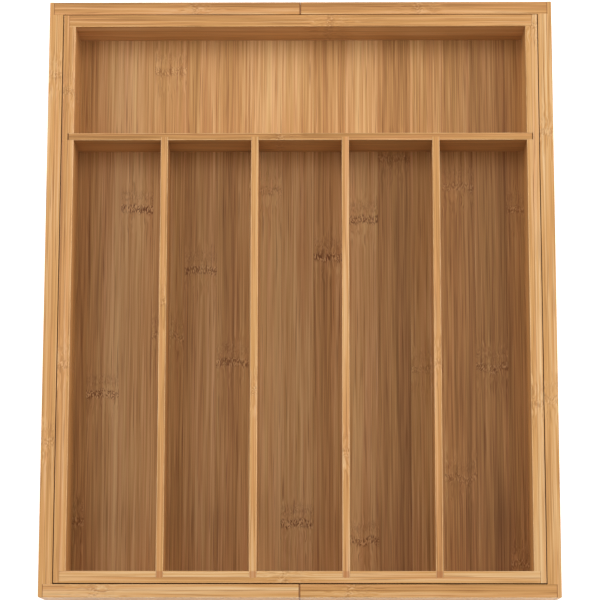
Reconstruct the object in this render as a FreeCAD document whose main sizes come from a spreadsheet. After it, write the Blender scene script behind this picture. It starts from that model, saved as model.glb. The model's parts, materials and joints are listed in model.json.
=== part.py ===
"""Expandable bamboo drawer organizer, drawn in millimetres.

A fixed middle tray, open at the top, stands inside two U-shaped wings. Each wing slides out to its own
side, its floor running under the tray's, and makes one more compartment there. The model is drawn with
both wings pushed in. X runs across the drawer, Y from the front to the back, Z up. The origin is at the
middle of the footprint, on the surface that the wings stand on.
"""
import FreeCAD, Part
import math
import os
import re
import Sketcher

# Driving dimensions, in millimetres.
SIZES = [
    ("overall_width", 375, "outside width with both wings pushed in"),
    ("overall_depth", 443, "outside depth, front to back"),
    ("overall_height", 50, "height of every wall's top edge above the drawer"),
    ("wing_side", 10.1, "thickness of the wings' side walls"),
    ("wing_end", 9.5, "thickness of the wings' front and back walls"),
    ("tray_wall", 8.9, "thickness of the tray's four outer walls"),
    ("divider", 5.3, "thickness of every divider"),
    ("tray_floor", 5, "thickness of the tray's floor panel"),
    ("wing_floor", 4.5, "thickness of the wings' floor panels"),
    ("divider_pitch", 67, "spacing of the long dividers, centre to centre"),
    ("back_room", 82, "front-to-back room of the compartment across the back"),
    ("wing_travel", 80, "how far each wing slides out"),
    ("side_gap", 0.6, "gap between the tray's sides and the wings' sides, pushed in"),
    ("end_gap", 0.5, "sliding gap between the tray's ends and the wings' front and back walls"),
    ("floor_gap", 0.4, "sliding gap between the wings' floors and the tray's floor"),
    ("seam", 0.4, "gap between the two wings where they meet in the middle"),
    ("floor_lift", 3, "height of the wings' floor panels above the drawer"),
    ("floor_seat", 4, "depth that a wing's floor panel goes into its walls"),
    ("wing_lip", 3, "wood left outside the rabbet at a wing's corner"),
    ("tray_lip", 4, "wood left outside the rabbet at the tray's corner"),
    ("cross_seat", 4, "depth that the cross divider goes into the tray's sides"),
    ("front_seat", 4.8, "depth that a long divider goes into the tray's front wall"),
    ("back_seat", 2.5, "depth that a long divider goes into the cross divider"),
    ("glue_room", 0.5, "room left beyond the cross divider's ends in their housings"),
    ("corner_round", 0.8, "radius on the wings' outside corners"),
    ("screw_shank", 3.5, "diameter of a stop screw's shank"),
    ("screw_head", 7.5, "diameter of a stop screw's pan head"),
    ("head_height", 2, "height of the pan head"),
    ("head_round", 0.9, "radius on the pan head's rim"),
    ("drive_length", 3.8, "length of the cross recess's arms, end to end"),
    ("drive_width", 1, "width of the cross recess's arms"),
    ("drive_depth", 1.2, "depth of the cross recess"),
    ("screw_bite", 9, "length of the shank inside the tray's wall"),
    ("point_bevel", 1.2, "bevel at the shank's point"),
    ("head_gap", 0.3, "gap between a pan head and the wing floor above it"),
    ("slot_room", 0.5, "room around a screw's shank in its slot"),
    ("slot_end_wood", 11, "wood between a slot's end and the wing floor's inner edge"),
]
DIVIDER_STEPS = (-1.5, -0.5, 0.5, 1.5)  # the long dividers' places, in pitches from the middle
ZERO = "0"

doc = FreeCAD.newDocument("drawer_organizer")
sheet = doc.addObject("Spreadsheet::Sheet", "Sizes")
for row, (alias, number, meaning) in enumerate(SIZES, start=1):
    sheet.set(f"A{row}", alias)
    sheet.set(f"B{row}", str(number))
    sheet.set(f"C{row}", meaning)
    sheet.setAlias(f"B{row}", alias)
doc.recompute()


def formula(text):
    """Turn a formula in the sizes' own names into the sheet's expression: divider is Sizes.divider."""
    names = {alias for alias, number, meaning in SIZES}

    def qualify(match):
        return f"Sizes.{match.group()}" if match.group() in names else match.group()

    return f"({re.sub(r'(?<![.a-zA-Z_])[a-z_]+', qualify, text)})"


def value(expression):
    """Work an expression out, as a plain number."""
    return float(sheet.evalExpression(expression))


# Sizes and places that follow from the driving ones.
HALF_WIDTH = formula("overall_width / 2")
HALF_DEPTH = formula("overall_depth / 2")
WING_SIDE = formula("wing_side")
WING_END = formula("wing_end")
WING_ROOM_DEPTH = formula("overall_depth - 2 * wing_end")
TRAY_WALL = formula("tray_wall")
TRAY_WIDTH = formula("overall_width - 2 * wing_side - 2 * side_gap")
TRAY_DEPTH = formula("overall_depth - 2 * wing_end - 2 * end_gap")
ROOM_WIDTH = formula(f"{TRAY_WIDTH} - 2 * tray_wall")
TRAY_BASE = formula("floor_lift + wing_floor + floor_gap")
TRAY_TOP = formula(f"{TRAY_BASE} + tray_floor")
WALL_HEIGHT = formula(f"overall_height - {TRAY_TOP}")
CROSS_FRONT = formula(f"{TRAY_DEPTH} / 2 - tray_wall - back_room - divider")
SHANK_RADIUS = formula("screw_shank / 2")
SCREW_X = formula(f"seam / 2 + slot_end_wood + slot_room + {SHANK_RADIUS} + wing_travel")
SCREW_Y = formula(f"{TRAY_DEPTH} / 2 - tray_wall / 2")
SCREW_PLACES = [(f"{x_sign}{SCREW_X}", f"{y_sign}{SCREW_Y}")
                for x_sign in ("-", "") for y_sign in ("-", "")]


def board(name, corner, half_turn=False):
    """Start a body whose own origin is its lowest corner, put at three expressions.

    With half_turn the piece is swung round the organizer's middle, from the left wing to the right.
    """
    body = doc.addObject("PartDesign::Body", name)
    body.Label = name
    upwards = FreeCAD.Vector(0, 0, 1)
    turn = FreeCAD.Rotation(upwards, 180 if half_turn else 0)
    body.Placement = FreeCAD.Placement(FreeCAD.Vector(), turn)
    for axis, expression in zip("xyz", corner):
        sign = "-1 * " if half_turn and axis != "z" else ""
        body.setExpression(f"Placement.Base.{axis}", f"{sign}{expression}")
    return body


def sketch_on(body, name, role):
    """Attach a new sketch to one of the body's own origin planes."""
    sketch = body.newObject("Sketcher::SketchObject", f"{body.Label}_{name}")
    plane = next(item for item in body.Origin.OriginFeatures if item.Role == role)
    sketch.AttachmentSupport = (plane, "")
    sketch.MapMode = "FlatFace"
    return sketch


def place_point(sketch, geometry, position, point):
    """Hold a sketch point at two expressions, measured from the sketch's origin."""
    for direction, axis, expression in (("X", -2, point[0]), ("Y", -1, point[1])):
        if expression == ZERO:
            sketch.addConstraint(Sketcher.Constraint("PointOnObject", geometry, position, axis))
        else:
            number = sketch.addConstraint(Sketcher.Constraint(
                f"Distance{direction}", -1, 1, geometry, position, value(expression)))
            sketch.setExpression(f"Constraints[{number}]", expression)


def draw_outline(sketch, points):
    """Draw a closed outline through points given as pairs of expressions."""
    corners = [FreeCAD.Vector(value(x), value(y), 0) for x, y in points]
    following = [(index + 1) % len(points) for index in range(len(points))]
    lines = [sketch.addGeometry(Part.LineSegment(corners[index], corners[following[index]]), False)
             for index in range(len(points))]
    for index, line in enumerate(lines):
        sketch.addConstraint(Sketcher.Constraint("Coincident", line, 2, lines[following[index]], 1))
        place_point(sketch, line, 1, points[index])


def hold_radius(sketch, geometry, radius):
    number = sketch.addConstraint(Sketcher.Constraint("Radius", geometry, value(radius)))
    sketch.setExpression(f"Constraints[{number}]", radius)


def draw_circle(sketch, centre, radius):
    """Draw a circle round a centre given as two expressions."""
    middle = FreeCAD.Vector(value(centre[0]), value(centre[1]), 0)
    circle = sketch.addGeometry(Part.Circle(middle, FreeCAD.Vector(0, 0, 1), value(radius)), False)
    place_point(sketch, circle, 3, centre)
    hold_radius(sketch, circle, radius)


def draw_slot(sketch, low_end, high_end, radius):
    """Draw a round-ended slot along X between the centres of its two ends."""
    low, high = (FreeCAD.Vector(value(x), value(y), 0) for x, y in (low_end, high_end))
    upwards, size = FreeCAD.Vector(0, 0, 1), value(radius)
    reach = FreeCAD.Vector(0, size, 0)
    low_arc = Part.ArcOfCircle(Part.Circle(low, upwards, size), math.pi / 2, 3 * math.pi / 2)
    high_arc = Part.ArcOfCircle(Part.Circle(high, upwards, size), -math.pi / 2, math.pi / 2)
    front = Part.LineSegment(low - reach, high - reach)
    back = Part.LineSegment(high + reach, low + reach)
    parts = [sketch.addGeometry(item, False) for item in (low_arc, front, high_arc, back)]
    for index, part in enumerate(parts):
        sketch.addConstraint(Sketcher.Constraint("Tangent", part, 2, parts[(index + 1) % 4], 1))
    place_point(sketch, parts[0], 3, low_end)
    place_point(sketch, parts[2], 3, high_end)
    hold_radius(sketch, parts[0], radius)


def rectangle(x_low, y_low, x_high, y_high):
    return [(x_low, y_low), (x_high, y_low), (x_high, y_high), (x_low, y_high)]


def housings(centres, face, bottom):
    """Outline points, in the order of X, of housings a divider wide cut from a face to a bottom."""
    points = []
    for centre in centres:
        low, high = formula(f"{centre} - divider / 2"), formula(f"{centre} + divider / 2")
        points += [(low, face), (low, bottom), (high, bottom), (high, face)]
    return points


def pad(body, sketch, height):
    feature = body.newObject("PartDesign::Pad", f"{sketch.Label}_pad")
    feature.Profile = sketch
    feature.setExpression("Length", height)
    doc.recompute()


def pocket(body, sketch, depth=None):
    """Cut a sketch out of a body: right through both ways, or `depth` up from the body's underside."""
    before = body.Shape.Volume
    feature = body.newObject("PartDesign::Pocket", f"{sketch.Label}_pocket")
    feature.Profile = sketch
    if depth is None:
        feature.Type = "ThroughAll"
        feature.SideType = "Symmetric"
    else:
        feature.setExpression("Length", depth)
        feature.Reversed = True
    doc.recompute()
    if not 0 < body.Shape.Volume < before:
        raise ValueError(f"{feature.Label} removes nothing")


def pad_plan(body, points, height):
    """Raise a board from its outline seen from above."""
    sketch = sketch_on(body, "plan", "XY_Plane")
    draw_outline(sketch, points)
    pad(body, sketch, height)


def run_groove(body, end_plane, near, far):
    """Cut the wing floor's groove right along a wall, between two places across its thickness."""
    sketch = sketch_on(body, "groove", end_plane)
    bottom, top = formula("floor_lift"), formula("floor_lift + wing_floor")
    draw_outline(sketch, rectangle(near, bottom, far, top))
    pocket(body, sketch)


def drill(body, corner, places, depth):
    """Drill holes for the stop screws up from the underside of a board whose lowest corner is given."""
    sketch = sketch_on(body, "screw_holes", "XY_Plane")
    for x, y in places:
        draw_circle(sketch, (formula(f"{x} - {corner[0]}"), formula(f"{y} - {corner[1]}")), SHANK_RADIUS)
    pocket(body, sketch, depth)


def dress_edges(body, kind, name, is_wanted, size_name, size):
    """Round or bevel the edges of a body's last feature that is_wanted picks."""
    base = body.Tip
    edges = [f"Edge{index}" for index, edge in enumerate(base.Shape.Edges, start=1) if is_wanted(edge)]
    feature = body.newObject(f"PartDesign::{kind}", f"{body.Label}_{name}")
    feature.Base = (base, edges)
    feature.setExpression(size_name, size)
    doc.recompute()


def make_wing_side(name, half_turn):
    """A wing's side wall: full depth, rabbeted at both ends, grooved inside for the floor panel."""
    depth, lip = formula("overall_depth"), formula("wing_lip")
    back_shoulder = formula("overall_depth - wing_end")
    body = board(name, (f"-{HALF_WIDTH}", f"-{HALF_DEPTH}", ZERO), half_turn)
    pad_plan(body, [
        (ZERO, ZERO), (lip, ZERO), (lip, WING_END), (WING_SIDE, WING_END),
        (WING_SIDE, back_shoulder), (lip, back_shoulder), (lip, depth), (ZERO, depth),
    ], formula("overall_height"))
    run_groove(body, "XZ_Plane", formula("wing_side - floor_seat"), WING_SIDE)

    def is_outside_corner(edge):
        start, end = edge.Vertexes[0].Point, edge.Vertexes[-1].Point
        at_end = min(abs(start.y), abs(start.y - value(depth))) < 1e-6
        return abs(start.z - end.z) > value(WING_END) and abs(start.x) < 1e-6 and at_end

    dress_edges(body, "Fillet", "corners", is_outside_corner, "Radius", formula("corner_round"))
    return body


def make_wing_end(name, half_turn, at_back):
    """A wing's front or back wall, from the side wall's rabbet to the seam, grooved for the floor.

    half_turn makes the left wing's piece into the right wing's, and its front into its back.
    """
    front_face = f"{WING_ROOM_DEPTH} / 2" if at_back else f"-{HALF_DEPTH}"
    body = board(name, (formula(f"wing_lip - {HALF_WIDTH}"), formula(front_face), ZERO), half_turn)
    length = formula(f"{HALF_WIDTH} - seam / 2 - wing_lip")
    pad_plan(body, rectangle(ZERO, ZERO, length, WING_END), formula("overall_height"))
    if at_back:
        run_groove(body, "YZ_Plane", ZERO, formula("floor_seat"))
    else:
        run_groove(body, "YZ_Plane", formula("wing_end - floor_seat"), WING_END)
    return body


def make_wing_floor(name, half_turn):
    """A wing's floor panel, seated in three walls, with two slots that the stop screws run in."""
    corner = (formula(f"wing_side - floor_seat - {HALF_WIDTH}"),
              formula(f"-{WING_ROOM_DEPTH} / 2 - floor_seat"), formula("floor_lift"))
    body = board(name, corner, half_turn)
    length = formula(f"{HALF_WIDTH} - seam / 2 - wing_side + floor_seat")
    depth = formula(f"{WING_ROOM_DEPTH} + 2 * floor_seat")
    pad_plan(body, rectangle(ZERO, ZERO, length, depth), formula("wing_floor"))
    slot_low = formula(f"-{SCREW_X} - {corner[0]} - slot_room")
    slot_high = formula(f"-{SCREW_X} - {corner[0]} + wing_travel + slot_room")
    sketch = sketch_on(body, "slots", "XY_Plane")
    for screw_y in (f"-{SCREW_Y}", SCREW_Y):
        across = formula(f"{screw_y} - {corner[1]}")
        draw_slot(sketch, (slot_low, across), (slot_high, across), formula("screw_shank / 2 + slot_room"))
    pocket(body, sketch)
    return body


def make_tray_side(name, on_right):
    """A side wall of the tray: full depth, rabbeted at both ends, housed for the cross divider."""
    lip = formula("tray_lip")
    back_shoulder = formula(f"{TRAY_DEPTH} - tray_wall")
    housing_bottom = formula("tray_wall - cross_seat - glue_room")
    housing_front = formula(f"{CROSS_FRONT} + {TRAY_DEPTH} / 2")
    housing_back = formula(f"{housing_front} + divider")
    outline = [
        (ZERO, ZERO), (lip, ZERO), (lip, TRAY_WALL), (TRAY_WALL, TRAY_WALL),
        (TRAY_WALL, housing_front), (housing_bottom, housing_front),
        (housing_bottom, housing_back), (TRAY_WALL, housing_back),
        (TRAY_WALL, back_shoulder), (lip, back_shoulder), (lip, TRAY_DEPTH), (ZERO, TRAY_DEPTH),
    ]
    x_low = formula(f"-{TRAY_WIDTH} / 2")
    if on_right:
        x_low = formula(f"{TRAY_WIDTH} / 2 - tray_wall")
        mirrored = {ZERO: TRAY_WALL, TRAY_WALL: ZERO}
        outline = [(mirrored.get(x, formula(f"tray_wall - {x}")), y) for x, y in outline]
    body = board(name, (x_low, formula(f"-{TRAY_DEPTH} / 2"), TRAY_TOP))
    pad_plan(body, outline, WALL_HEIGHT)
    return body


def make_tray_end(name, at_back):
    """The tray's front or back wall, set in the sides' rabbets. The front holds the long dividers."""
    length = formula(f"{TRAY_WIDTH} - 2 * tray_lip")
    front_face = f"{TRAY_DEPTH} / 2 - tray_wall" if at_back else f"-{TRAY_DEPTH} / 2"
    corner = (formula(f"-{length} / 2"), formula(front_face), TRAY_TOP)
    body = board(name, corner)
    centres = [] if at_back else [f"{length} / 2 + {step} * divider_pitch" for step in DIVIDER_STEPS]
    inner_face = housings(centres, TRAY_WALL, formula("tray_wall - front_seat"))[::-1]
    pad_plan(body, [(ZERO, ZERO), (length, ZERO), (length, TRAY_WALL), *inner_face, (ZERO, TRAY_WALL)],
             WALL_HEIGHT)
    places = [place for place in SCREW_PLACES if place[1].startswith("-") != at_back]
    drill(body, corner, places, formula("screw_bite"))
    return body


def make_tray_floor(name):
    """The tray's floor panel, which the walls and dividers stand on, drilled for the stop screws."""
    corner = (formula(f"-{TRAY_WIDTH} / 2"), formula(f"-{TRAY_DEPTH} / 2"), TRAY_BASE)
    body = board(name, corner)
    pad_plan(body, rectangle(ZERO, ZERO, TRAY_WIDTH, TRAY_DEPTH), formula("tray_floor"))
    drill(body, corner, SCREW_PLACES, formula("tray_floor"))
    return body


def make_cross_divider(name):
    """The divider across the tray, with a housing in its front face for each long divider."""
    length = formula(f"{ROOM_WIDTH} + 2 * cross_seat")
    thickness = formula("divider")
    body = board(name, (formula(f"-{length} / 2"), CROSS_FRONT, TRAY_TOP))
    centres = [f"{length} / 2 + {step} * divider_pitch" for step in DIVIDER_STEPS]
    front_face = housings(centres, ZERO, formula("back_seat"))
    pad_plan(body, [(ZERO, ZERO), *front_face, (length, ZERO), (length, thickness), (ZERO, thickness)],
             WALL_HEIGHT)
    return body


def make_long_divider(name, step):
    """A divider from the tray's front wall to the cross divider, let into both."""
    front_end = formula(f"-{TRAY_DEPTH} / 2 + tray_wall - front_seat")
    length = formula(f"{CROSS_FRONT} + back_seat - {front_end}")
    body = board(name, (formula(f"{step} * divider_pitch - divider / 2"), front_end, TRAY_TOP))
    pad_plan(body, rectangle(ZERO, ZERO, formula("divider"), length), WALL_HEIGHT)
    return body


def make_stop_screws(name):
    """Four pan-head screws, driven up through the tray's floor into its front and back walls."""
    body = board(name, (ZERO, ZERO, formula("floor_lift - head_gap - head_height")))
    shank_end = formula("head_height + head_gap + wing_floor + floor_gap + tray_floor + screw_bite")
    for part, radius, height in (("head", formula("screw_head / 2"), formula("head_height")),
                                 ("shank", SHANK_RADIUS, shank_end)):
        sketch = sketch_on(body, part, "XY_Plane")
        for place in SCREW_PLACES:
            draw_circle(sketch, place, radius)
        pad(body, sketch, height)

    def is_circle_at(edge, radius, height):
        curve = edge.Curve
        return (isinstance(curve, Part.Circle) and abs(curve.Radius - value(radius)) < 1e-6
                and abs(curve.Center.z - value(height)) < 1e-6)

    dress_edges(body, "Fillet", "rims", lambda edge: is_circle_at(edge, formula("screw_head / 2"), ZERO),
                "Radius", formula("head_round"))
    dress_edges(body, "Chamfer", "points", lambda edge: is_circle_at(edge, SHANK_RADIUS, shank_end),
                "Size", formula("point_bevel"))
    recess = sketch_on(body, "recess", "XY_Plane")
    arm, half = "drive_length / 2", "drive_width / 2"
    quarter = [(arm, half), (half, half), (half, arm)]
    cross = quarter + [(f"-{dx}", dy) for dx, dy in quarter[::-1]]
    cross += [(dx, f"-{dy}") for dx, dy in cross[::-1]]
    for x, y in SCREW_PLACES:
        draw_outline(recess, [(formula(f"{x} + {dx}"), formula(f"{y} + {dy}")) for dx, dy in cross])
    pocket(body, recess, formula("drive_depth"))
    return body


def make_all():
    """Make every piece of the organizer."""
    pieces = []
    for wing, half_turn in (("left_wing", False), ("right_wing", True)):
        pieces.append(make_wing_side(f"{wing}_side", half_turn))
        pieces.append(make_wing_end(f"{wing}_front", half_turn, at_back=half_turn))
        pieces.append(make_wing_end(f"{wing}_back", half_turn, at_back=not half_turn))
        pieces.append(make_wing_floor(f"{wing}_floor", half_turn))
    pieces.append(make_tray_side("tray_left_wall", on_right=False))
    pieces.append(make_tray_side("tray_right_wall", on_right=True))
    pieces.append(make_tray_end("tray_front_wall", at_back=False))
    pieces.append(make_tray_end("tray_back_wall", at_back=True))
    pieces.append(make_tray_floor("tray_floor"))
    pieces.append(make_cross_divider("cross_divider"))
    for number, step in enumerate(DIVIDER_STEPS, start=1):
        pieces.append(make_long_divider(f"long_divider_{number}", step))
    pieces.append(make_stop_screws("stop_screws"))
    return pieces


def check(pieces):
    """Stop before anything is written if a feature failed or a shape is missing or unsound."""
    doc.recompute()
    failed = [item.Label for item in doc.Objects if {"Invalid", "Error"} & set(item.State)]
    unsound = [piece.Label for piece in pieces if piece.Shape.isNull() or not piece.Shape.isValid()]
    if failed or unsound:
        raise ValueError(f"failed features {failed}, unsound shapes {unsound}")


def export(pieces):
    """Write each piece to its own file, named for its node."""
    os.makedirs("parts", exist_ok=True)
    for piece in pieces:
        piece.Shape.exportStep(f"parts/{piece.Label}.step")


PIECES = make_all()
check(PIECES)
export(PIECES)
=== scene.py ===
"""Looks of the expandable bamboo drawer organizer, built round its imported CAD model.

Every wall and divider is a board of laminated bamboo with eased arrises. The three floors are panels of
edge-glued bamboo strips, and four zinc-plated screws under the tray stop the wings. Sizes are in metres
unless a name ends in _MM.
"""
import json
import math
import random
from collections import namedtuple

import bmesh
import bpy
import numpy as np
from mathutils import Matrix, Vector


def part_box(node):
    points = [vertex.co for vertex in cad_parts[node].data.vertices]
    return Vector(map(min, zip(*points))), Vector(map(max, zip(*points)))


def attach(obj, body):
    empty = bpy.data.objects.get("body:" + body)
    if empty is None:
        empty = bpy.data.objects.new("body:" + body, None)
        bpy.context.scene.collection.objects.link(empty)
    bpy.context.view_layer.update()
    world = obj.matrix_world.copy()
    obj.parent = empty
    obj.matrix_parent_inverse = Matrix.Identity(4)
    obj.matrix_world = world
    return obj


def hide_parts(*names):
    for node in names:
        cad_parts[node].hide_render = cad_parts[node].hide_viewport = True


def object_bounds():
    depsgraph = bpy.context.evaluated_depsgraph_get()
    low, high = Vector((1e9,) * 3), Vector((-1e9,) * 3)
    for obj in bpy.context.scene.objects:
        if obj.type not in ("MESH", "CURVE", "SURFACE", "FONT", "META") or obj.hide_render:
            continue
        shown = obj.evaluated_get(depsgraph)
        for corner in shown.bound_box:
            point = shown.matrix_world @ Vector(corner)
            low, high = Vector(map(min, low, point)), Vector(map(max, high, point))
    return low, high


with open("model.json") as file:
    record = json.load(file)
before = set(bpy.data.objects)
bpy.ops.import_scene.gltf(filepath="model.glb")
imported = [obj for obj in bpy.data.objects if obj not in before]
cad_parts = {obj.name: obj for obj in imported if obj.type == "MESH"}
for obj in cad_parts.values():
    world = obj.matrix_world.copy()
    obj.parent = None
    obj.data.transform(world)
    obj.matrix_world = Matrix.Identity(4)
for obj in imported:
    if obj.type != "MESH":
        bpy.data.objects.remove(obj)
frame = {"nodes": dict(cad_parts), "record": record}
CAD_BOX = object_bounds()
MM = 0.001

# ---------------------------------------------------------------- sizes of the bamboo stock
ARRIS = 0.45 * MM           # how far a board's long arrises are sanded off
SEAM_ARRIS = 0.25 * MM      # the same on the ends that meet at the wings' seam
SEAM_HALF = 0.05 * MM       # half of the seam's width: the wings are pushed hard together
SEAM_REACH = 2 * MM         # what lies this close to the middle of a wing's wall belongs to the seam
FRONT_SANDING = 0.4 * MM    # how far the tray's front is sanded back, for a wider gap in front of it
STRIP_WIDTH = 24.15 * MM    # width of one strip of a floor panel
STRIP_EDGE = 9.8 * MM       # where one glue line of the panels lies, right of the middle
STRIP_JOINT = 0.05 * MM     # open width of a glue line
STRIP_ARRIS = 0.12 * MM     # the strips' own eased edges
OVERSIZE = 2 * MM           # how much longer and thicker the rough strips are than the panel
LONG_EDGE = 20 * MM         # an arris longer than this is eased
SHORT_EDGE = 2 * MM         # an edge at the seam shorter than this stays sharp
SLIVER = 0.01 * MM          # edges shorter than this are slips of the bevel, and are closed
TOUCH = 0.001 * MM          # two places nearer than this are one

# ---------------------------------------------------------------- figure of the bamboo
# Each mark: its size along the grain, across it and up in mm, its finer detail and how rough that is, and
# a shift of the noise that no other mark has.
MARKS = {
    "fibre": ((70, 0.8, 0.8), 1.0, 0.6, 0.0),
    "bundle": ((150, 2.0, 2.0), 1.0, 0.5, 7.3),
    "shade": ((400, 7, 7), 0.0, 0.5, 11.9),
    "hue": ((120, 1.9, 1.9), 1.0, 0.5, 17.7),
    "pore": ((40, 0.8, 0.8), 1.0, 0.5, 23.1),
    "wander": ((90, 5, 5), 0.0, 0.5, 3.1),
    "sway": ((10, 3.2, 3.2), 0.0, 0.5, 5.3),
    "fan": ((60, 2.6, 2.6), 0.0, 0.5, 29.3),
    "dash": ((2.4, 0.62, 0.62), 0.5, 0.5, 31.7),
    # the next mark breaks up the painted highlight on the arrises
    "arris_glint": ((11, 3, 3), 2.0, 0.5, 37.3),
}
SHIFT_WAY = (1.0, 1.7, 1.0)  # how a mark's shift is shared out along, across and up
# Each fade: where it starts and where it is full, in mm from the mark's middle or in levels of the noise
# that makes the mark, and what it gives there if that isn't 0 and 1.
FADES = {
    "first row": {"From Min": 4.6, "From Max": 1.8},
    "second row": {"From Min": 6.0, "From Max": 2.0, "To Max": 0.4},
    "sway": {"From Min": 30.0, "From Max": 4.0, "To Max": 0.8},
    "pore": {"From Min": 0.35, "From Max": 0.95},
    "ochre": {"From Min": -0.8, "From Max": 0.9},
    "glue": {"From Min": 0.4, "From Max": 0.15, "To Max": 0.3},
    "joint": {"From Min": 0.6, "From Max": 0.35},
    "front end": {"From Min": 5.2, "From Max": 4.4},
    "dark dash": {"From Min": -0.1, "From Max": 0.4, "To Max": 0.9},
    "light dash": {"From Min": -0.25, "From Max": -0.6, "To Max": 0.8},
    # the next fade sets the strength of the painted highlight on the arrises
    "arris_glint": {"From Min": -0.7, "From Max": 0.7, "To Min": 0.15, "To Max": 0.65},
    "gloss": {"From Min": -1.0, "From Max": 1.0, "To Min": 0.4, "To Max": 0.54},
}
FIBRE_TONE = 0.26           # how far each kind of streak lightens and darkens the wood
BUNDLE_TONE = 0.15
SHADE_TONE = 0.10
SLAT_TONE = 0.12            # how far apart the tones of two slats can be
PORE_STAIN = 0.5            # how dark a pore is
SIDE_SHADE_TONE = -0.26           # painted shade: how much darker the side faces that look into the compartments are than the rest of the board
DIVIDER_SIDE_SHADE = 1.4          # how strongly the dividers get that painted shade, beside the side walls
SLAT_HEIGHT_MM = 23.0       # height of one slat in a laminated wall
SLAT_SHIFT = 0.37           # how far the inner ply's slats are set off from the outer ply's, in slats
NO_PLY_MM = -50.0           # thickness of the outer ply of a board that has none
NO_END_MM = 1000.0          # half length of a board whose ends have no joint line
WANDER_MM = 1.6             # how far a knuckle's row wanders along the grain
SECOND_ROW_MM = 10.0        # how far a knuckle's fainter second row is from the first
FAN_SLOPE = 0.55            # how far the dashes of a knuckle lean out, per mm along the grain
BOARD_KNUCKLE_MM = (-150, 150)   # where the boards' knuckles lie, along their grain
BOARD_GAP_MM = (190, 290)        # and how far apart
BOARD_FORCE = 0.4           # how strongly they show
END_SHADE = 0.5             # how dark the long dividers' ends at the front wall are
WING_JOINT = 0.9            # how dark the joint line at the ends of a wing's wall is
TRAY_JOINT = 0.5            # and at the ends of the tray's walls
FLOOR_OCHRE = 0.28          # how ochre all strips of the floors are
BOARD_SEED_STEP = 3.7       # between the noise seeds of two boards
STRIP_SEED_STEP = 5.3       # and of two strips of a floor

# ---------------------------------------------------------------- sizes of a stop screw
HEAD_RADIUS = 3.75 * MM
HEAD_HEIGHT = 2.0 * MM
HEAD_CROWN = 2.0 * MM       # radius of the flat on top of the pan head
HEAD_RIM = 0.8 * MM         # height of the head's upright rim, where it meets the wood
HEAD_ARRIS = 0.1 * MM       # broken edge of the rim
PLAIN_NECK = 0.3 * MM       # length of the shank between the head and the thread
THREAD_RADIUS = 1.74 * MM
CORE_RADIUS = 1.25 * MM
THREAD_PITCH = 1.3 * MM
THREAD_SHARE = 0.5          # how much of the pitch the thread's ridge takes
POINT_LENGTH = 2.0 * MM
POINT_TAPER = 0.6           # how much thinner than the core the point gets
POINT_BLUNT = 0.1           # how much of the point's length is missing
DRIVE_LENGTH = 3.8 * MM     # length of the cross recess's arms, end to end
DRIVE_WIDTH = 0.9 * MM
DRIVE_DEPTH = 1.2 * MM
CROWN_STEPS = 8             # rings of faces on the head's round
LATHE_STEPS = 36            # faces round a screw
THREAD_STEPS = 8            # rings of faces along one turn of the thread
SHARP_DEGREES = 40          # edges sharper than this aren't shaded smooth
SCREW_SEED = 7

# A bamboo culm has a knuckle every 200 to 400 mm. For a strip of a floor: the place of one knuckle along
# Y and the distance to the next, both in mm, how strongly the knuckles show, how light the strip is, and
# how much lighter its right edge is than its middle.
Strip = namedtuple("Strip", "knuckle gap force tone lean")
TRAY_STRIPS = [Strip(*facts) for facts in (
    (-164, 390, 0.7, -0.14, 0.00), (-69, 330, 0.9, 0.06, 0.26), (72, 310, 1.0, 0.12, -0.08),
    (-26, 204, 0.5, 0.05, -0.10), (24, 300, 0.8, -0.02, 0.07), (-46, 300, 0.8, 0.04, -0.06),
    (85, 330, 0.4, 0.26, 0.00), (-166, 410, 0.9, 0.17, -0.05), (34, 280, 0.9, -0.02, 0.00),
    (63, 241, 0.8, 0.15, -0.05), (110, 330, 0.4, -0.19, -0.09), (-51, 300, 0.4, -0.01, 0.00),
    (88, 220, 0.5, -0.08, -0.04), (-50, 300, 0.7, -0.17, -0.12), (70, 265, 0.6, -0.05, 0.00),
)]
WING_STRIP_SPANS = Strip(knuckle=(-120, 120), gap=(200, 300), force=(0.3, 1.0), tone=(-0.12, 0.12),
                         lean=(-0.1, 0.1))

# Each board: the axis its grain runs along, which way its outer face looks, the outer ply's thickness in
# mm (0 for a board of one ply), how light the outer and the inner ply are, and how ochre the board is.
Board = namedtuple("Board", "grain outward outer_ply outer_tone inner_tone ochre")
BOARDS = {
    "left_wing_side": Board("y", -1, 5.5, 0.00, 0.03, 0.7),
    "left_wing_front": Board("x", -1, 5.1, -0.02, 0.07, 0.9),
    "left_wing_back": Board("x", 1, 3.7, -0.20, -0.07, 0.0),
    "right_wing_side": Board("y", 1, 6.4, 0.09, 0.03, 1.0),
    "right_wing_front": Board("x", -1, 5.1, 0.00, 0.09, 0.9),
    "right_wing_back": Board("x", 1, 3.7, -0.26, -0.13, 0.2),
    "tray_left_wall": Board("y", -1, 4.4, -0.04, -0.02, 0.3),
    "tray_right_wall": Board("y", 1, 4.6, 0.13, 0.09, 0.9),
    "tray_front_wall": Board("x", -1, 4.6, 0.04, 0.14, 0.9),
    "tray_back_wall": Board("x", 1, 4.3, -0.06, -0.03, 0.5),
    "cross_divider": Board("x", -1, 0.0, -0.18, -0.18, 0.5),
    "long_divider_1": Board("y", -1, 0.0, 0.02, 0.02, 0.3),
    "long_divider_2": Board("y", -1, 0.0, 0.08, 0.08, 0.5),
    "long_divider_3": Board("y", -1, 0.0, 0.06, 0.06, 0.2),
    "long_divider_4": Board("y", -1, 0.0, -0.02, -0.02, 0.3),
}
TRAY_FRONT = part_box("tray_front_wall")[0].y
BODY_OF = {node: body for body, nodes in frame["record"]["behaviour"]["bodies"].items() for node in nodes}


# ---------------------------------------------------------------- helpers
def linear(code):
    """An sRGB hex colour as linear RGBA."""
    channels = [int(code[index:index + 2], 16) / 255 for index in (0, 2, 4)]
    return (*(c / 12.92 if c <= 0.04045 else ((c + 0.055) / 1.055) ** 2.4 for c in channels), 1.0)


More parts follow.
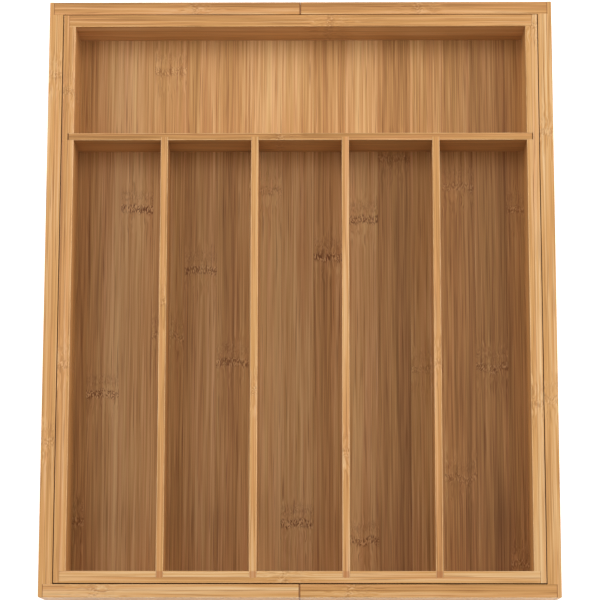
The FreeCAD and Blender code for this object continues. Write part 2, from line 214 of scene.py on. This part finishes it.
def add(tree, kind, inputs=None, **settings):
    """Add a node, set its properties, and set or link its inputs. A node given as an input links its
    first output in use, and a list links each of its members."""
    node = tree.nodes.new(kind)
    for name, setting in settings.items():
        setattr(node, name, setting)
    for key, given in (inputs or {}).items():
        for source in given if isinstance(given, list) else [given]:
            if isinstance(source, bpy.types.Node):
                source = next(output for output in source.outputs if output.enabled)
            if isinstance(source, bpy.types.NodeSocket):
                tree.links.new(source, node.inputs[key])
            else:
                node.inputs[key].default_value = source
    return node


def new_object(name, data):
    obj = bpy.data.objects.new(name, data)
    bpy.context.scene.collection.objects.link(obj)
    return obj


def put_attribute(mesh, name, kind, domain, values):
    attribute = mesh.attributes.get(name) or mesh.attributes.new(name, kind, domain)
    field = "vector" if kind == "FLOAT_VECTOR" else "value"
    attribute.data.foreach_set(field, np.asarray(values, np.float32).ravel())


def point_places(mesh):
    """The places of a mesh's points, one row for each."""
    places = np.empty(len(mesh.vertices) * 3)
    mesh.vertices.foreach_get("co", places)
    return places.reshape(-1, 3)


def new_material(name):
    material = bpy.data.materials.new(name)
    material.use_nodes = True
    material.node_tree.nodes.clear()
    return material, material.node_tree


def show(obj, node, material):
    """Put a finished piece in the place of a CAD node."""
    obj.data.materials.clear()
    obj.data.materials.append(material)
    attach(obj, BODY_OF[node])
    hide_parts(node)


# ---------------------------------------------------------------- materials
MATH, VECTOR_MATH = "ShaderNodeMath", "ShaderNodeVectorMath"
REMAP, MIX = "ShaderNodeMapRange", "ShaderNodeMix"
JOIN_XYZ, SPLIT_XYZ = "ShaderNodeCombineXYZ", "ShaderNodeSeparateXYZ"


def laminated_bamboo(name, dark, middle, light, knuckle):
    """Carbonised bamboo, planed, sanded and given a satin lacquer.

    To the eye: crisp fibre streaks a millimetre or two wide that run the whole length, some ochre and
    some pink, broken by hair-thin dark pores; plies and slats that differ in tone, with thin glue lines;
    at each knuckle a row of short dark and light dashes set in fans, with the streaks waving round it.
    Reads the mesh's attributes: grain, in mm, is along, across and up; the others belong to the board.
    """
    material, tree = new_material(name)
    board = {
        key: add(tree, "ShaderNodeAttribute", attribute_name=key).outputs["Fac"]
        for key in ("seed", "outer_ply", "outer_tone", "inner_tone", "ochre", "lean", "painted_side_shade", "arris",
                    "first_knuckle", "knuckle_gap", "knuckle_force", "middle", "half_length", "end_shade",
                    "joint_line")
    }
    grain = add(tree, "ShaderNodeAttribute", attribute_name="grain").outputs["Vector"]
    along, across, up = add(tree, SPLIT_XYZ, {0: grain}).outputs

    def figure(place, mark):
        """Noise of a mark's size, from about -1 to about 1."""
        lengths, detail, roughness, shift = MARKS[mark]
        frequency = tuple(1 / length for length in lengths)
        shifts = tuple(shift * way for way in SHIFT_WAY)
        scaled = add(tree, VECTOR_MATH, {0: place, 1: frequency, 2: shifts}, operation="MULTIPLY_ADD")
        texture = add(tree, "ShaderNodeTexNoise", {
            "Vector": scaled, "W": board["seed"], "Scale": 1.0, "Detail": detail, "Roughness": roughness,
        }, noise_dimensions="4D")
        return add(tree, MATH, {0: texture, 1: 4.0, 2: -2.0}, operation="MULTIPLY_ADD")

    # distance along the grain from the nearest knuckle, whose row wanders a little
    offset = add(tree, MATH, {0: along, 1: board["first_knuckle"]}, operation="SUBTRACT")
    turns = add(tree, MATH, {0: offset, 1: board["knuckle_gap"]}, operation="DIVIDE")
    whole = add(tree, MATH, {0: turns}, operation="ROUND")
    nearest = add(tree, MATH, {0: whole, 1: board["knuckle_gap"]}, operation="MULTIPLY")
    straight = add(tree, MATH, {0: offset, 1: nearest}, operation="SUBTRACT")
    from_row = add(tree, MATH, {0: figure(grain, "wander"), 1: WANDER_MM, 2: straight},
                   operation="MULTIPLY_ADD")
    away = add(tree, MATH, {0: from_row}, operation="ABSOLUTE")
    in_first = add(tree, REMAP, {"Value": away, **FADES["first row"]}, interpolation_type="SMOOTHSTEP")
    past = add(tree, MATH, {0: from_row, 1: SECOND_ROW_MM}, operation="SUBTRACT")
    from_second = add(tree, MATH, {0: past}, operation="ABSOLUTE")
    in_second = add(tree, REMAP, {"Value": from_second, **FADES["second row"]},
                    interpolation_type="SMOOTHSTEP")
    in_either = add(tree, MATH, {0: in_first, 1: in_second}, operation="MAXIMUM")
    in_rows = add(tree, MATH, {0: in_either, 1: board["knuckle_force"]}, operation="MULTIPLY")

    # streaks wave round a knuckle
    near_row = add(tree, REMAP, {"Value": away, **FADES["sway"]}, interpolation_type="SMOOTHSTEP")
    sway = add(tree, MATH, {0: figure(grain, "sway"), 1: near_row}, operation="MULTIPLY")
    wave = add(tree, JOIN_XYZ, {1: sway, 2: sway})
    fibres = add(tree, VECTOR_MATH, {0: grain, 1: wave}, operation="ADD")
    fine = figure(fibres, "fibre")
    pores = add(tree, REMAP, {"Value": figure(fibres, "pore"), **FADES["pore"]})

    # the ply and the slat that a point lies in
    inner = add(tree, MATH, {0: across, 1: board["outer_ply"]}, operation="GREATER_THAN")
    ply_tone = add(tree, MIX, {"Factor": inner, "A": board["outer_tone"], "B": board["inner_tone"]})
    shifted = add(tree, MATH, {0: inner, 1: SLAT_SHIFT * SLAT_HEIGHT_MM, 2: up}, operation="MULTIPLY_ADD")
    slat_place = add(tree, MATH, {0: shifted, 1: SLAT_HEIGHT_MM}, operation="DIVIDE")
    slat_number = add(tree, MATH, {0: slat_place}, operation="FLOOR")
    slat_code = add(tree, JOIN_XYZ, {0: slat_number, 1: inner, 2: board["seed"]})
    slat_chance = add(tree, "ShaderNodeTexWhiteNoise", {"Vector": slat_code}, noise_dimensions="3D")

    # how light the wood is, with 0.5 in the middle, and its colour for that
    level = 0.5 - SLAT_TONE / 2
    # one of these shares is painted shade on the side faces that look into the compartments
    for share, weight in ((slat_chance, SLAT_TONE), (board["painted_side_shade"], SIDE_SHADE_TONE), (ply_tone, 1.0),
                          (board["lean"], 1.0), (figure(fibres, "shade"), SHADE_TONE),
                          (figure(fibres, "bundle"), BUNDLE_TONE), (fine, FIBRE_TONE)):
        level = add(tree, MATH, {0: share, 1: weight, 2: level}, operation="MULTIPLY_ADD")
    tones = add(tree, "ShaderNodeValToRGB", {"Fac": level})
    stops = tones.color_ramp.elements
    stops[0].position, stops[0].color = 0.05, linear(dark)
    stops[1].position, stops[1].color = 0.95, linear(light)
    stops.new(0.5).color = linear(middle)
    pink, ochre = (add(tree, MIX, {"Factor": 0.5, "A": tones, "B": linear(tint)}, data_type="RGBA",
                       blend_type="MULTIPLY") for tint in ("FFF0F7", "F9FFF1"))
    hue = add(tree, MATH, {0: figure(fibres, "hue"), 1: board["ochre"]}, operation="ADD")
    ochre_share = add(tree, REMAP, {"Value": hue, **FADES["ochre"]})
    wood = add(tree, MIX, {"Factor": ochre_share, "A": pink, "B": ochre}, data_type="RGBA")
    pore_stain = add(tree, MATH, {0: pores, 1: PORE_STAIN}, operation="MULTIPLY")

    # glue lines between plies, between slats and where an end wall meets a side wall
    past_ply = add(tree, MATH, {0: across, 1: board["outer_ply"]}, operation="SUBTRACT")
    from_ply = add(tree, MATH, {0: past_ply}, operation="ABSOLUTE")
    slat_share = add(tree, MATH, {0: slat_place, 1: 0.5}, operation="PINGPONG")
    from_slat = add(tree, MATH, {0: slat_share, 1: SLAT_HEIGHT_MM}, operation="MULTIPLY")
    from_glue = add(tree, MATH, {0: from_ply, 1: from_slat}, operation="MINIMUM")
    glue = add(tree, REMAP, {"Value": from_glue, **FADES["glue"]})
    from_middle = add(tree, MATH, {0: along, 1: board["middle"]}, operation="SUBTRACT")
    aside = add(tree, MATH, {0: from_middle}, operation="ABSOLUTE")
    from_end = add(tree, MATH, {0: board["half_length"], 1: aside}, operation="SUBTRACT")
    at_joint = add(tree, REMAP, {"Value": from_end, **FADES["joint"]})
    joint = add(tree, MATH, {0: at_joint, 1: board["joint_line"]}, operation="MULTIPLY")
    glue_line = add(tree, MATH, {0: glue, 1: joint}, operation="MAXIMUM")

    # a divider's front end, in the shade of the wall that it is housed in
    from_front = add(tree, MATH, {0: from_middle, 1: board["half_length"]}, operation="ADD")
    at_front = add(tree, REMAP, {"Value": from_front, **FADES["front end"]})
    end_shade = add(tree, MATH, {0: at_front, 1: board["end_shade"]}, operation="MULTIPLY")

    # knuckles: dashes set in fans that open and close across the strip
    slope = add(tree, MATH, {0: from_row, 1: FAN_SLOPE}, operation="MULTIPLY")
    fan = add(tree, MATH, {0: figure(grain, "fan"), 1: slope}, operation="MULTIPLY")
    spread = add(tree, JOIN_XYZ, {1: fan, 2: fan})
    fanned = add(tree, VECTOR_MATH, {0: grain, 1: spread}, operation="ADD")
    dashes = figure(fanned, "dash")
    dark_part = add(tree, REMAP, {"Value": dashes, **FADES["dark dash"]})
    light_part = add(tree, REMAP, {"Value": dashes, **FADES["light dash"]})
    dark_dash, light_dash = (add(tree, MATH, {0: part, 1: in_rows}, operation="MULTIPLY")
                             for part in (dark_part, light_part))

    # painted highlight: arrises made lighter, as if they caught the light, unevenly along their length
    arris_glint = add(tree, REMAP, {"Value": figure(grain, "arris_glint"), **FADES["arris_glint"]})
    arris_highlight = add(tree, MATH, {0: arris_glint, 1: board["arris"]}, operation="MULTIPLY")

    # the last cover, in EBC693, is a painted highlight on the arrises
    for cover, shade in ((pore_stain, knuckle), (glue_line, knuckle), (end_shade, "A8693F"),
                         (dark_dash, knuckle), (light_dash, light), (arris_highlight, "EBC693")):
        wood = add(tree, MIX, {"Factor": cover, "A": wood, "B": linear(shade)}, data_type="RGBA")
    gloss = add(tree, REMAP, {"Value": fine, **FADES["gloss"]})
    pitted = add(tree, MATH, {0: pores, 1: -0.6, 2: fine}, operation="MULTIPLY_ADD")
    relief = add(tree, MATH, {0: dark_dash, 1: -1.5, 2: pitted}, operation="MULTIPLY_ADD")
    bump = add(tree, "ShaderNodeBump", {"Strength": 0.3, "Distance": 0.03 * MM, "Height": relief})
    shader = add(tree, "ShaderNodeBsdfPrincipled", {
        "Base Color": wood, "Roughness": gloss, "Normal": bump, "IOR": 1.45, "Specular IOR Level": 0.4})
    add(tree, "ShaderNodeOutputMaterial", {"Surface": shader})
    return material


def zinc_plated_steel():
    """Bright zinc on cold-formed steel: a pale blue-grey metal, faintly mottled by the plating."""
    material, tree = new_material("zinc_plated_steel")
    place = add(tree, "ShaderNodeTexCoord").outputs["Object"]
    grit = 0.4 * MM
    mottle = add(tree, "ShaderNodeTexNoise", {"Vector": place, "Scale": 1 / grit, "Detail": 3.0})
    tint = add(tree, MIX, {"Factor": mottle, "A": linear("B9BCBB"), "B": linear("D9DAD4")},
               data_type="RGBA")
    gloss = add(tree, REMAP, {"Value": mottle, "From Min": 0.3, "From Max": 0.7, "To Min": 0.26,
                              "To Max": 0.42})
    shader = add(tree, "ShaderNodeBsdfPrincipled", {
        "Base Color": tint, "Metallic": 1.0, "Roughness": gloss})
    add(tree, "ShaderNodeOutputMaterial", {"Surface": shader})
    return material


WALL_BAMBOO = laminated_bamboo("laminated_bamboo", "9C6C3C", "CC955B", "E5BF92", "7C4517")
FLOOR_BAMBOO = laminated_bamboo("strip_bamboo", "8A5C31", "BE8B55", "DCB07C", "6E3710")
ZINC = zinc_plated_steel()


# ---------------------------------------------------------------- geometry nodes
def new_tree(name, inputs):
    """A geometry node tree with named inputs: the tree, its input sockets, and their identifiers."""
    tree = bpy.data.node_groups.new(name, "GeometryNodeTree")
    sockets = {}
    for key, kind in inputs.items():
        socket = tree.interface.new_socket(name=key, in_out="INPUT", socket_type="NodeSocket" + kind)
        sockets[key] = socket.identifier
    tree.interface.new_socket(name="Geometry", in_out="OUTPUT", socket_type="NodeSocketGeometry")
    return tree, add(tree, "NodeGroupInput").outputs, sockets


def finish_tree(tree, geometry, material):
    """Leave plain mesh, in its material, as the tree's result."""
    real = add(tree, "GeometryNodeRealizeInstances", {"Geometry": geometry})
    finished = add(tree, "GeometryNodeSetMaterial", {"Geometry": real, "Material": material})
    add(tree, "NodeGroupOutput", {0: finished})


def grow(name, tree, sockets, settings):
    """A new object whose plain mesh is what the tree makes with the given settings."""
    piece = new_object(name, bpy.data.meshes.new(name + "_rough"))
    modifier = piece.modifiers.new("tree", "NODES")
    modifier.node_group = tree
    for key, setting in settings.items():
        modifier[sockets[key]] = setting
    graph = bpy.context.evaluated_depsgraph_get()
    mesh = bpy.data.meshes.new_from_object(piece.evaluated_get(graph), preserve_all_data_layers=True,
                                           depsgraph=graph)
    piece.modifiers.remove(modifier)
    piece.data = mesh
    return piece


# ---------------------------------------------------------------- boards
def clean_copy(node):
    """A bmesh of a CAD node with its loose triangles merged back into flat faces, and its front sanded
    back if it belongs to the tray."""
    shape = bmesh.new()
    shape.from_mesh(frame["nodes"][node].data)
    bmesh.ops.remove_doubles(shape, verts=shape.verts, dist=TOUCH)
    bmesh.ops.dissolve_limit(shape, angle_limit=math.radians(1), verts=shape.verts, edges=shape.edges)
    for vert in shape.verts:
        if node.startswith("tray") and vert.co.y < TRAY_FRONT + TOUCH:
            vert.co.y += FRONT_SANDING
    return shape


def ease_arrises(shape, node):
    """Sand off a board's long arrises and, where it meets the other wing, the edges round that end. The
    bevels' faces are left with material index 1."""
    axis = "xy".index(BOARDS[node].grain)
    low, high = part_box(node)
    meets_wing = "wing" in node and min(abs(low.x), abs(high.x)) < SEAM_REACH
    for vert in shape.verts:
        if meets_wing and abs(vert.co.x) < SEAM_REACH:
            vert.co.x = math.copysign(SEAM_HALF, vert.co.x)

    def is_long_arris(edge):
        start, end = (vert.co for vert in edge.verts)
        run = end - start
        at_rim = min(abs(start.z - low.z), abs(start.z - high.z)) < TOUCH
        return abs(run[axis]) > LONG_EDGE and run.length - abs(run[axis]) < TOUCH and at_rim

    def is_seam_edge(edge):
        at_seam = all(abs(vert.co.x) < SEAM_REACH for vert in edge.verts)
        return meets_wing and at_seam and edge.calc_length() > SHORT_EDGE

    for wanted, width in ((is_long_arris, ARRIS), (is_seam_edge, SEAM_ARRIS)):
        edges = [edge for edge in shape.edges if wanted(edge)]
        if edges:
            made = bmesh.ops.bevel(shape, geom=edges, offset=width, offset_type="OFFSET", segments=2,
                                   profile=0.6, affect="EDGES", clamp_overlap=True)
            for face in made["faces"]:
                face.material_index = 1
    bmesh.ops.remove_doubles(shape, verts=shape.verts, dist=SLIVER)
    bmesh.ops.dissolve_degenerate(shape, dist=SLIVER, edges=shape.edges)


def gets_arris_highlight(face, node, depth, thickness):
    """Whether a face gets the painted highlight of an arris catching the light: it is on an arris, and
    not on one beside the sliding gap. depth is how far the face's middle is from the board's outer face."""
    if face.material_index != 1:
        return False
    if "wing" in node:
        return abs(depth - thickness) > 2 * ARRIS
    if "wall" in node:
        return depth > 2 * ARRIS
    return True


def side_shade_share(face, node):
    """How strongly a face gets painted shade, as a side face that looks into a compartment. The side
    walls get it on the face turned to the compartments, and the long dividers get it on both sides."""
    board = BOARDS[node]
    divides = "divider" in node
    inward = (-1, 1) if divides else (-board.outward,)
    if board.grain == "x" or abs(face.normal.x) < 0.9 or round(face.normal.x) not in inward:
        return 0.0
    return DIVIDER_SIDE_SHADE if divides else 1.0


def make_board(node, seed):
    """A wall or divider: the CAD board with its long arrises eased, and its grain laid out."""
    board = BOARDS[node]
    axis = "xy".index(board.grain)
    other = 1 - axis
    low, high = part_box(node)
    shape = clean_copy(node)
    ease_arrises(shape, node)
    mesh = bpy.data.meshes.new(node + "_board")
    shape.to_mesh(mesh)
    shape.free()

    points = point_places(mesh)
    outer_face = high[other] if board.outward > 0 else low[other]
    grain = np.column_stack([points[:, axis], np.abs(points[:, other] - outer_face), points[:, 2]]) / MM
    put_attribute(mesh, "grain", "FLOAT_VECTOR", "POINT", grain)
    thickness = high[other] - low[other]
    # which faces get the painted highlight on the arrises
    arris = [gets_arris_highlight(face, node, abs(face.center[other] - outer_face), thickness)
             for face in mesh.polygons]
    put_attribute(mesh, "arris", "FLOAT", "FACE", arris)
    # painted shade on the side faces that look into the compartments
    put_attribute(mesh, "painted_side_shade", "FLOAT", "FACE", [side_shade_share(face, node) for face in mesh.polygons])
    for face in mesh.polygons:
        face.material_index = 0
    chance = random.Random(seed)
    facts = {
        "seed": seed * BOARD_SEED_STEP, "outer_ply": board.outer_ply or NO_PLY_MM,
        "outer_tone": board.outer_tone, "inner_tone": board.inner_tone, "ochre": board.ochre,
        "first_knuckle": chance.uniform(*BOARD_KNUCKLE_MM), "knuckle_gap": chance.uniform(*BOARD_GAP_MM),
        "knuckle_force": BOARD_FORCE, "middle": (low[axis] + high[axis]) / 2 / MM,
        "half_length": (high[axis] - low[axis]) / 2 / MM,
        "end_shade": END_SHADE if node.startswith("long") else 0.0,
        "joint_line": 0.0 if board.grain == "y" else WING_JOINT if "wing" in node else TRAY_JOINT,
    }
    for name, number in facts.items():
        put_attribute(mesh, name, "FLOAT", "FACE", [number] * len(mesh.polygons))
    show(new_object(node + "_board", mesh), node, WALL_BAMBOO)


# ---------------------------------------------------------------- floors of edge-glued strips
def strip_panel_tree():
    """Rough strips laid side by side along X, then cut to the panel's own outline."""
    tree, given, sockets = new_tree("edge_glued_panel", {
        "Panel": "Object", "Strips": "Int", "Strip width": "Float", "Joint": "Float",
        "First centre": "Vector", "Strip length": "Float", "Strip thickness": "Float",
        "Material": "Material"})
    solid_width = add(tree, MATH, {0: given["Strip width"], 1: given["Joint"]}, operation="SUBTRACT")
    size = add(tree, JOIN_XYZ, {0: solid_width, 1: given["Strip length"], 2: given["Strip thickness"]})
    strip = add(tree, "GeometryNodeMeshCube", {"Size": size})
    step = add(tree, JOIN_XYZ, {0: given["Strip width"]})
    centres = add(tree, "GeometryNodeMeshLine", {
        "Count": given["Strips"], "Start Location": given["First centre"], "Offset": step}, mode="OFFSET")
    laid = add(tree, "GeometryNodeInstanceOnPoints", {"Points": centres, "Instance": strip})
    rough = add(tree, "GeometryNodeRealizeInstances", {"Geometry": laid})
    panel = add(tree, "GeometryNodeObjectInfo", {"Object": given["Panel"]}).outputs["Geometry"]
    cut = add(tree, "GeometryNodeMeshBoolean", {"Mesh 2": [rough, panel]}, operation="INTERSECT",
              solver="EXACT")
    # number each face by the strip that its middle lies in
    place = add(tree, SPLIT_XYZ, {0: add(tree, "GeometryNodeInputPosition")})
    first = add(tree, SPLIT_XYZ, {0: given["First centre"]})
    run = add(tree, MATH, {0: place, 1: first}, operation="SUBTRACT")
    turns = add(tree, MATH, {0: run, 1: given["Strip width"]}, operation="DIVIDE")
    number = add(tree, MATH, {0: turns}, operation="ROUND")
    stored = add(tree, "GeometryNodeStoreNamedAttribute", {
        "Geometry": cut, "Name": "strip", "Value": number}, data_type="FLOAT", domain="FACE")
    finish_tree(tree, stored, given["Material"])
    return tree, sockets


def make_floor(node, tree, sockets, seed, strip_facts):
    """A floor panel: strips cut to the CAD panel, slots and all. strip_facts gives the Strip for its
    number, counted from the panel's left."""
    low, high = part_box(node)
    first_strip = math.floor((low.x - STRIP_EDGE) / STRIP_WIDTH)
    last_strip = math.ceil((high.x - STRIP_EDGE) / STRIP_WIDTH)
    outline = bpy.data.meshes.new(node + "_outline")
    shape = clean_copy(node)
    shape.to_mesh(outline)
    shape.free()
    panel = new_object(node + "_outline", outline)
    first_centre = Vector((STRIP_EDGE + (first_strip + 0.5) * STRIP_WIDTH, (low.y + high.y) / 2,
                           (low.z + high.z) / 2))
    piece = grow(node + "_strips", tree, sockets, {
        "Panel": panel, "Strips": last_strip - first_strip, "Strip width": STRIP_WIDTH,
        "Joint": STRIP_JOINT, "First centre": first_centre, "Strip length": high.y - low.y + OVERSIZE,
        "Strip thickness": high.z - low.z + OVERSIZE, "Material": FLOOR_BAMBOO,
    })
    bpy.data.objects.remove(panel)
    mesh = piece.data

    points = point_places(mesh)
    put_attribute(mesh, "grain", "FLOAT_VECTOR", "POINT", points[:, [1, 0, 2]] / MM)
    turns = (points[:, 0] - first_centre.x) / STRIP_WIDTH
    lean = [strip_facts(round(turn)).lean * 2 * (turn - round(turn)) for turn in turns]
    put_attribute(mesh, "lean", "FLOAT", "POINT", lean)
    numbers = np.empty(len(mesh.polygons), np.float32)
    mesh.attributes["strip"].data.foreach_get("value", numbers)
    strips = [strip_facts(round(float(number))) for number in numbers]
    columns = {
        "seed": [seed + STRIP_SEED_STEP * number for number in numbers],
        "outer_ply": [NO_PLY_MM] * len(strips), "half_length": [NO_END_MM] * len(strips),
        "outer_tone": [strip.tone for strip in strips], "inner_tone": [strip.tone for strip in strips],
        "ochre": [FLOOR_OCHRE] * len(strips), "knuckle_gap": [strip.gap for strip in strips],
        "first_knuckle": [strip.knuckle for strip in strips],
        "knuckle_force": [strip.force for strip in strips],
    }
    for name, values in columns.items():
        put_attribute(mesh, name, "FLOAT", "FACE", values)
    eased = piece.modifiers.new("eased edges", "BEVEL")
    eased.width, eased.segments, eased.limit_method = STRIP_ARRIS, 1, "ANGLE"
    eased.angle_limit = math.radians(60)
    show(piece, node, FLOOR_BAMBOO)


def tray_strip(number):
    return TRAY_STRIPS[min(number, len(TRAY_STRIPS) - 1)]


def wing_strip(seed):
    """The strips of a wing's floor, scattered with a fixed seed."""
    def strip_facts(number):
        chance = random.Random(seed * 100 + number)
        return Strip(*(chance.uniform(*span) for span in WING_STRIP_SPANS))
    return strip_facts


# ---------------------------------------------------------------- stop screws
def screw_rings(length):
    """The rings of points that a screw is lofted through, from its head's top to its tip: for each, its
    height and the radius at each step round it."""
    rings = [(0.0, [HEAD_CROWN] * LATHE_STEPS)]
    for step in range(1, CROWN_STEPS + 1):
        angle = math.pi / 2 * step / CROWN_STEPS
        radius = HEAD_CROWN + (HEAD_RADIUS - HEAD_CROWN) * math.sin(angle)
        rings.append(((HEAD_HEIGHT - HEAD_RIM) * (1 - math.cos(angle)), [radius] * LATHE_STEPS))
    for height, radius in ((HEAD_HEIGHT - HEAD_ARRIS, HEAD_RADIUS),
                           (HEAD_HEIGHT, HEAD_RADIUS - HEAD_ARRIS), (HEAD_HEIGHT, CORE_RADIUS)):
        rings.append((height, [radius] * LATHE_STEPS))
    thread_start = HEAD_HEIGHT + PLAIN_NECK
    count = round((length - thread_start) / THREAD_PITCH * THREAD_STEPS)
    for index in range(count + 1):
        height = thread_start + (length - thread_start) * index / count
        to_tip = (length - height) / POINT_LENGTH
        core = CORE_RADIUS * (1 - POINT_TAPER + POINT_TAPER * min(1.0, to_tip + POINT_BLUNT))
        growth = min((height - thread_start) / THREAD_PITCH, to_tip, 1.0)
        radii = []
        for step in range(LATHE_STEPS):
            phase = (height / THREAD_PITCH - step / LATHE_STEPS) % 1.0
            crest = max(0.0, 1.0 - abs(phase - 0.5) * 2 / THREAD_SHARE)
            radii.append(core + (THREAD_RADIUS - CORE_RADIUS) * crest * growth)
        rings.append((height, radii))
    return rings


def rough_screw(length):
    """A pan-head screw standing on its head at the origin: crowned head, threaded shank, blunt point."""
    rings = screw_rings(length)
    turns = [math.tau * step / LATHE_STEPS for step in range(LATHE_STEPS)]
    points = [(radius * math.cos(turn), radius * math.sin(turn), height)
              for height, radii in rings for turn, radius in zip(turns, radii)]
    last = (len(rings) - 1) * LATHE_STEPS
    faces = []
    for row in range(0, last, LATHE_STEPS):
        above = row + LATHE_STEPS
        for step in range(LATHE_STEPS):
            following = (step + 1) % LATHE_STEPS
            faces.append((row + step, row + following, above + following, above + step))
    faces += [tuple(reversed(range(LATHE_STEPS))), tuple(range(last, last + LATHE_STEPS))]
    mesh = bpy.data.meshes.new("rough_screw")
    mesh.from_pydata(points, [], faces)
    return mesh


def screw_tree():
    """One screw with its cross recess cut, set at the four corners of a rectangle, each turned by
    chance."""
    tree, given, sockets = new_tree("stop_screws", {
        "Screw": "Object", "Spacing X": "Float", "Spacing Y": "Float", "Head height": "Float",
        "Drive length": "Float", "Drive width": "Float", "Drive depth": "Float", "Seed": "Int",
        "Material": "Material"})
    screw = add(tree, "GeometryNodeObjectInfo", {"Object": given["Screw"]}).outputs["Geometry"]
    depth = add(tree, MATH, {0: given["Drive depth"], 1: 2.0}, operation="MULTIPLY")
    sizes = [add(tree, JOIN_XYZ, {0: given[long], 1: given[wide], 2: depth})
             for long, wide in (("Drive length", "Drive width"), ("Drive width", "Drive length"))]
    bars = [add(tree, "GeometryNodeMeshCube", {"Size": size}) for size in sizes]
    driven = add(tree, "GeometryNodeMeshBoolean", {"Mesh 1": screw, "Mesh 2": bars},
                 operation="DIFFERENCE", solver="EXACT")
    corners = add(tree, "GeometryNodeMeshGrid", {
        "Size X": given["Spacing X"], "Size Y": given["Spacing Y"], "Vertices X": 2, "Vertices Y": 2})
    lift = add(tree, JOIN_XYZ, {2: given["Head height"]})
    raised = add(tree, "GeometryNodeSetPosition", {"Geometry": corners, "Offset": lift})
    turn = add(tree, "FunctionNodeRandomValue", {
        "Min": (0.0, 0.0, 0.0), "Max": (0.0, 0.0, math.tau), "Seed": given["Seed"],
    }, data_type="FLOAT_VECTOR")
    placed = add(tree, "GeometryNodeInstanceOnPoints", {
        "Points": raised, "Instance": driven, "Rotation": turn})
    finish_tree(tree, placed, given["Material"])
    return tree, sockets


def make_stop_screws(node):
    """The four identical stop screws, as one piece."""
    low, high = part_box(node)
    screw = new_object("rough_screw", rough_screw(high.z - low.z))
    tree, sockets = screw_tree()
    piece = grow(node + "_turned", tree, sockets, {
        "Screw": screw, "Spacing X": high.x - low.x - 2 * HEAD_RADIUS,
        "Spacing Y": high.y - low.y - 2 * HEAD_RADIUS, "Head height": low.z, "Drive length": DRIVE_LENGTH,
        "Drive width": DRIVE_WIDTH, "Drive depth": DRIVE_DEPTH, "Seed": SCREW_SEED, "Material": ZINC})
    bpy.data.objects.remove(screw)
    piece.data.polygons.foreach_set("use_smooth", [True] * len(piece.data.polygons))
    piece.data.set_sharp_from_angle(angle=math.radians(SHARP_DEGREES))
    show(piece, node, ZINC)


# ---------------------------------------------------------------- building
# Each floor: the noise seed of its first strip, and what gives its strips.
FLOORS = {
    "tray_floor": (20.0, tray_strip),
    "left_wing_floor": (220.0, wing_strip(1)),
    "right_wing_floor": (420.0, wing_strip(2)),
}
for board_seed, board_node in enumerate(BOARDS, start=1):
    make_board(board_node, board_seed)
PANEL_TREE, PANEL_SOCKETS = strip_panel_tree()
for floor_node, (first_seed, floor_strip) in FLOORS.items():
    make_floor(floor_node, PANEL_TREE, PANEL_SOCKETS, first_seed, floor_strip)
make_stop_screws("stop_screws")


# ---------------------------------------------------------------- stage, light and camera
PAPER_REACH = 4.0           # from the middle of the sheet to its edges
PAPER_DEPTH = -0.3 * MM     # just under the wings, so that the two don't fight for the same plane
# Each soft light: its place, its width and height, and its power in watts.
SOFTBOXES = {
    "right_softbox": ((1.4, 0.35, 0.75), 1.0, 0.8, 20.5),
    "left_softbox": ((-1.4, 0.35, 0.75), 1.0, 0.8, 17.5),
    "upper_right_softbox": ((0.9, 0.35, 1.5), 1.0, 1.0, 6.2),
    "upper_left_softbox": ((-0.9, 0.35, 1.5), 1.0, 1.0, 6.7),
    "front_softbox": ((0, -1.4, 0.75), 1.0, 0.6, 4),
}
STUDIO_STRENGTH = 0.17
CAMERA_OVER_RIM = Vector((0.0202, -0.3126, 1.696))
CAMERA_TURN = (0.1793, 0.0116, 0.0014)
SENSOR_WIDTH_MM = 36
LENS_MM = 141.4


def make_stage():
    """A plain white sheet of paper under the organizer."""
    mesh = bpy.data.meshes.new("paper")
    corners = [(-PAPER_REACH, -PAPER_REACH, PAPER_DEPTH), (PAPER_REACH, -PAPER_REACH, PAPER_DEPTH),
               (PAPER_REACH, PAPER_REACH, PAPER_DEPTH), (-PAPER_REACH, PAPER_REACH, PAPER_DEPTH)]
    mesh.from_pydata(corners, [], [(0, 1, 2, 3)])
    paper = new_object("paper", mesh)
    material, tree = new_material("matt_white_paper")
    shader = add(tree, "ShaderNodeBsdfPrincipled", {
        "Base Color": linear("F7F7F6"), "Roughness": 0.9, "Specular IOR Level": 0.1,
        "Emission Color": linear("FFFFFF"), "Emission Strength": 0.5})
    add(tree, "ShaderNodeOutputMaterial", {"Surface": shader})
    mesh.materials.append(material)


def make_softbox(name, place, width, height, power):
    """A soft light that looks at the middle of the organizer."""
    light = bpy.data.lights.new(name, "AREA")
    light.shape, light.size, light.size_y, light.energy = "RECTANGLE", width, height, power
    softbox = new_object(name, light)
    softbox.location = place
    softbox.rotation_euler = (-Vector(place)).to_track_quat("-Z", "Y").to_euler()
    softbox.visible_camera = False


def make_world():
    """An even white studio all round."""
    world = bpy.data.worlds.new("studio")
    world.use_nodes = True
    background = world.node_tree.nodes["Background"]
    background.inputs["Color"].default_value = linear("FFFFFF")
    background.inputs["Strength"].default_value = STUDIO_STRENGTH
    bpy.context.scene.world = world


def make_camera():
    """A long lens almost straight above, leaning ten degrees from the front."""
    data = bpy.data.cameras.new("camera")
    data.sensor_width = SENSOR_WIDTH_MM
    data.lens = LENS_MM
    camera = new_object("camera", data)
    camera.location = CAMERA_OVER_RIM + Vector((0, 0, CAD_BOX[1].z))
    camera.rotation_euler = CAMERA_TURN
    bpy.context.scene.camera = camera


make_stage()
for softbox_name, softbox_facts in SOFTBOXES.items():
    make_softbox(softbox_name, *softbox_facts)
make_world()
make_camera()
bpy.context.scene.view_settings.view_transform = "Standard"
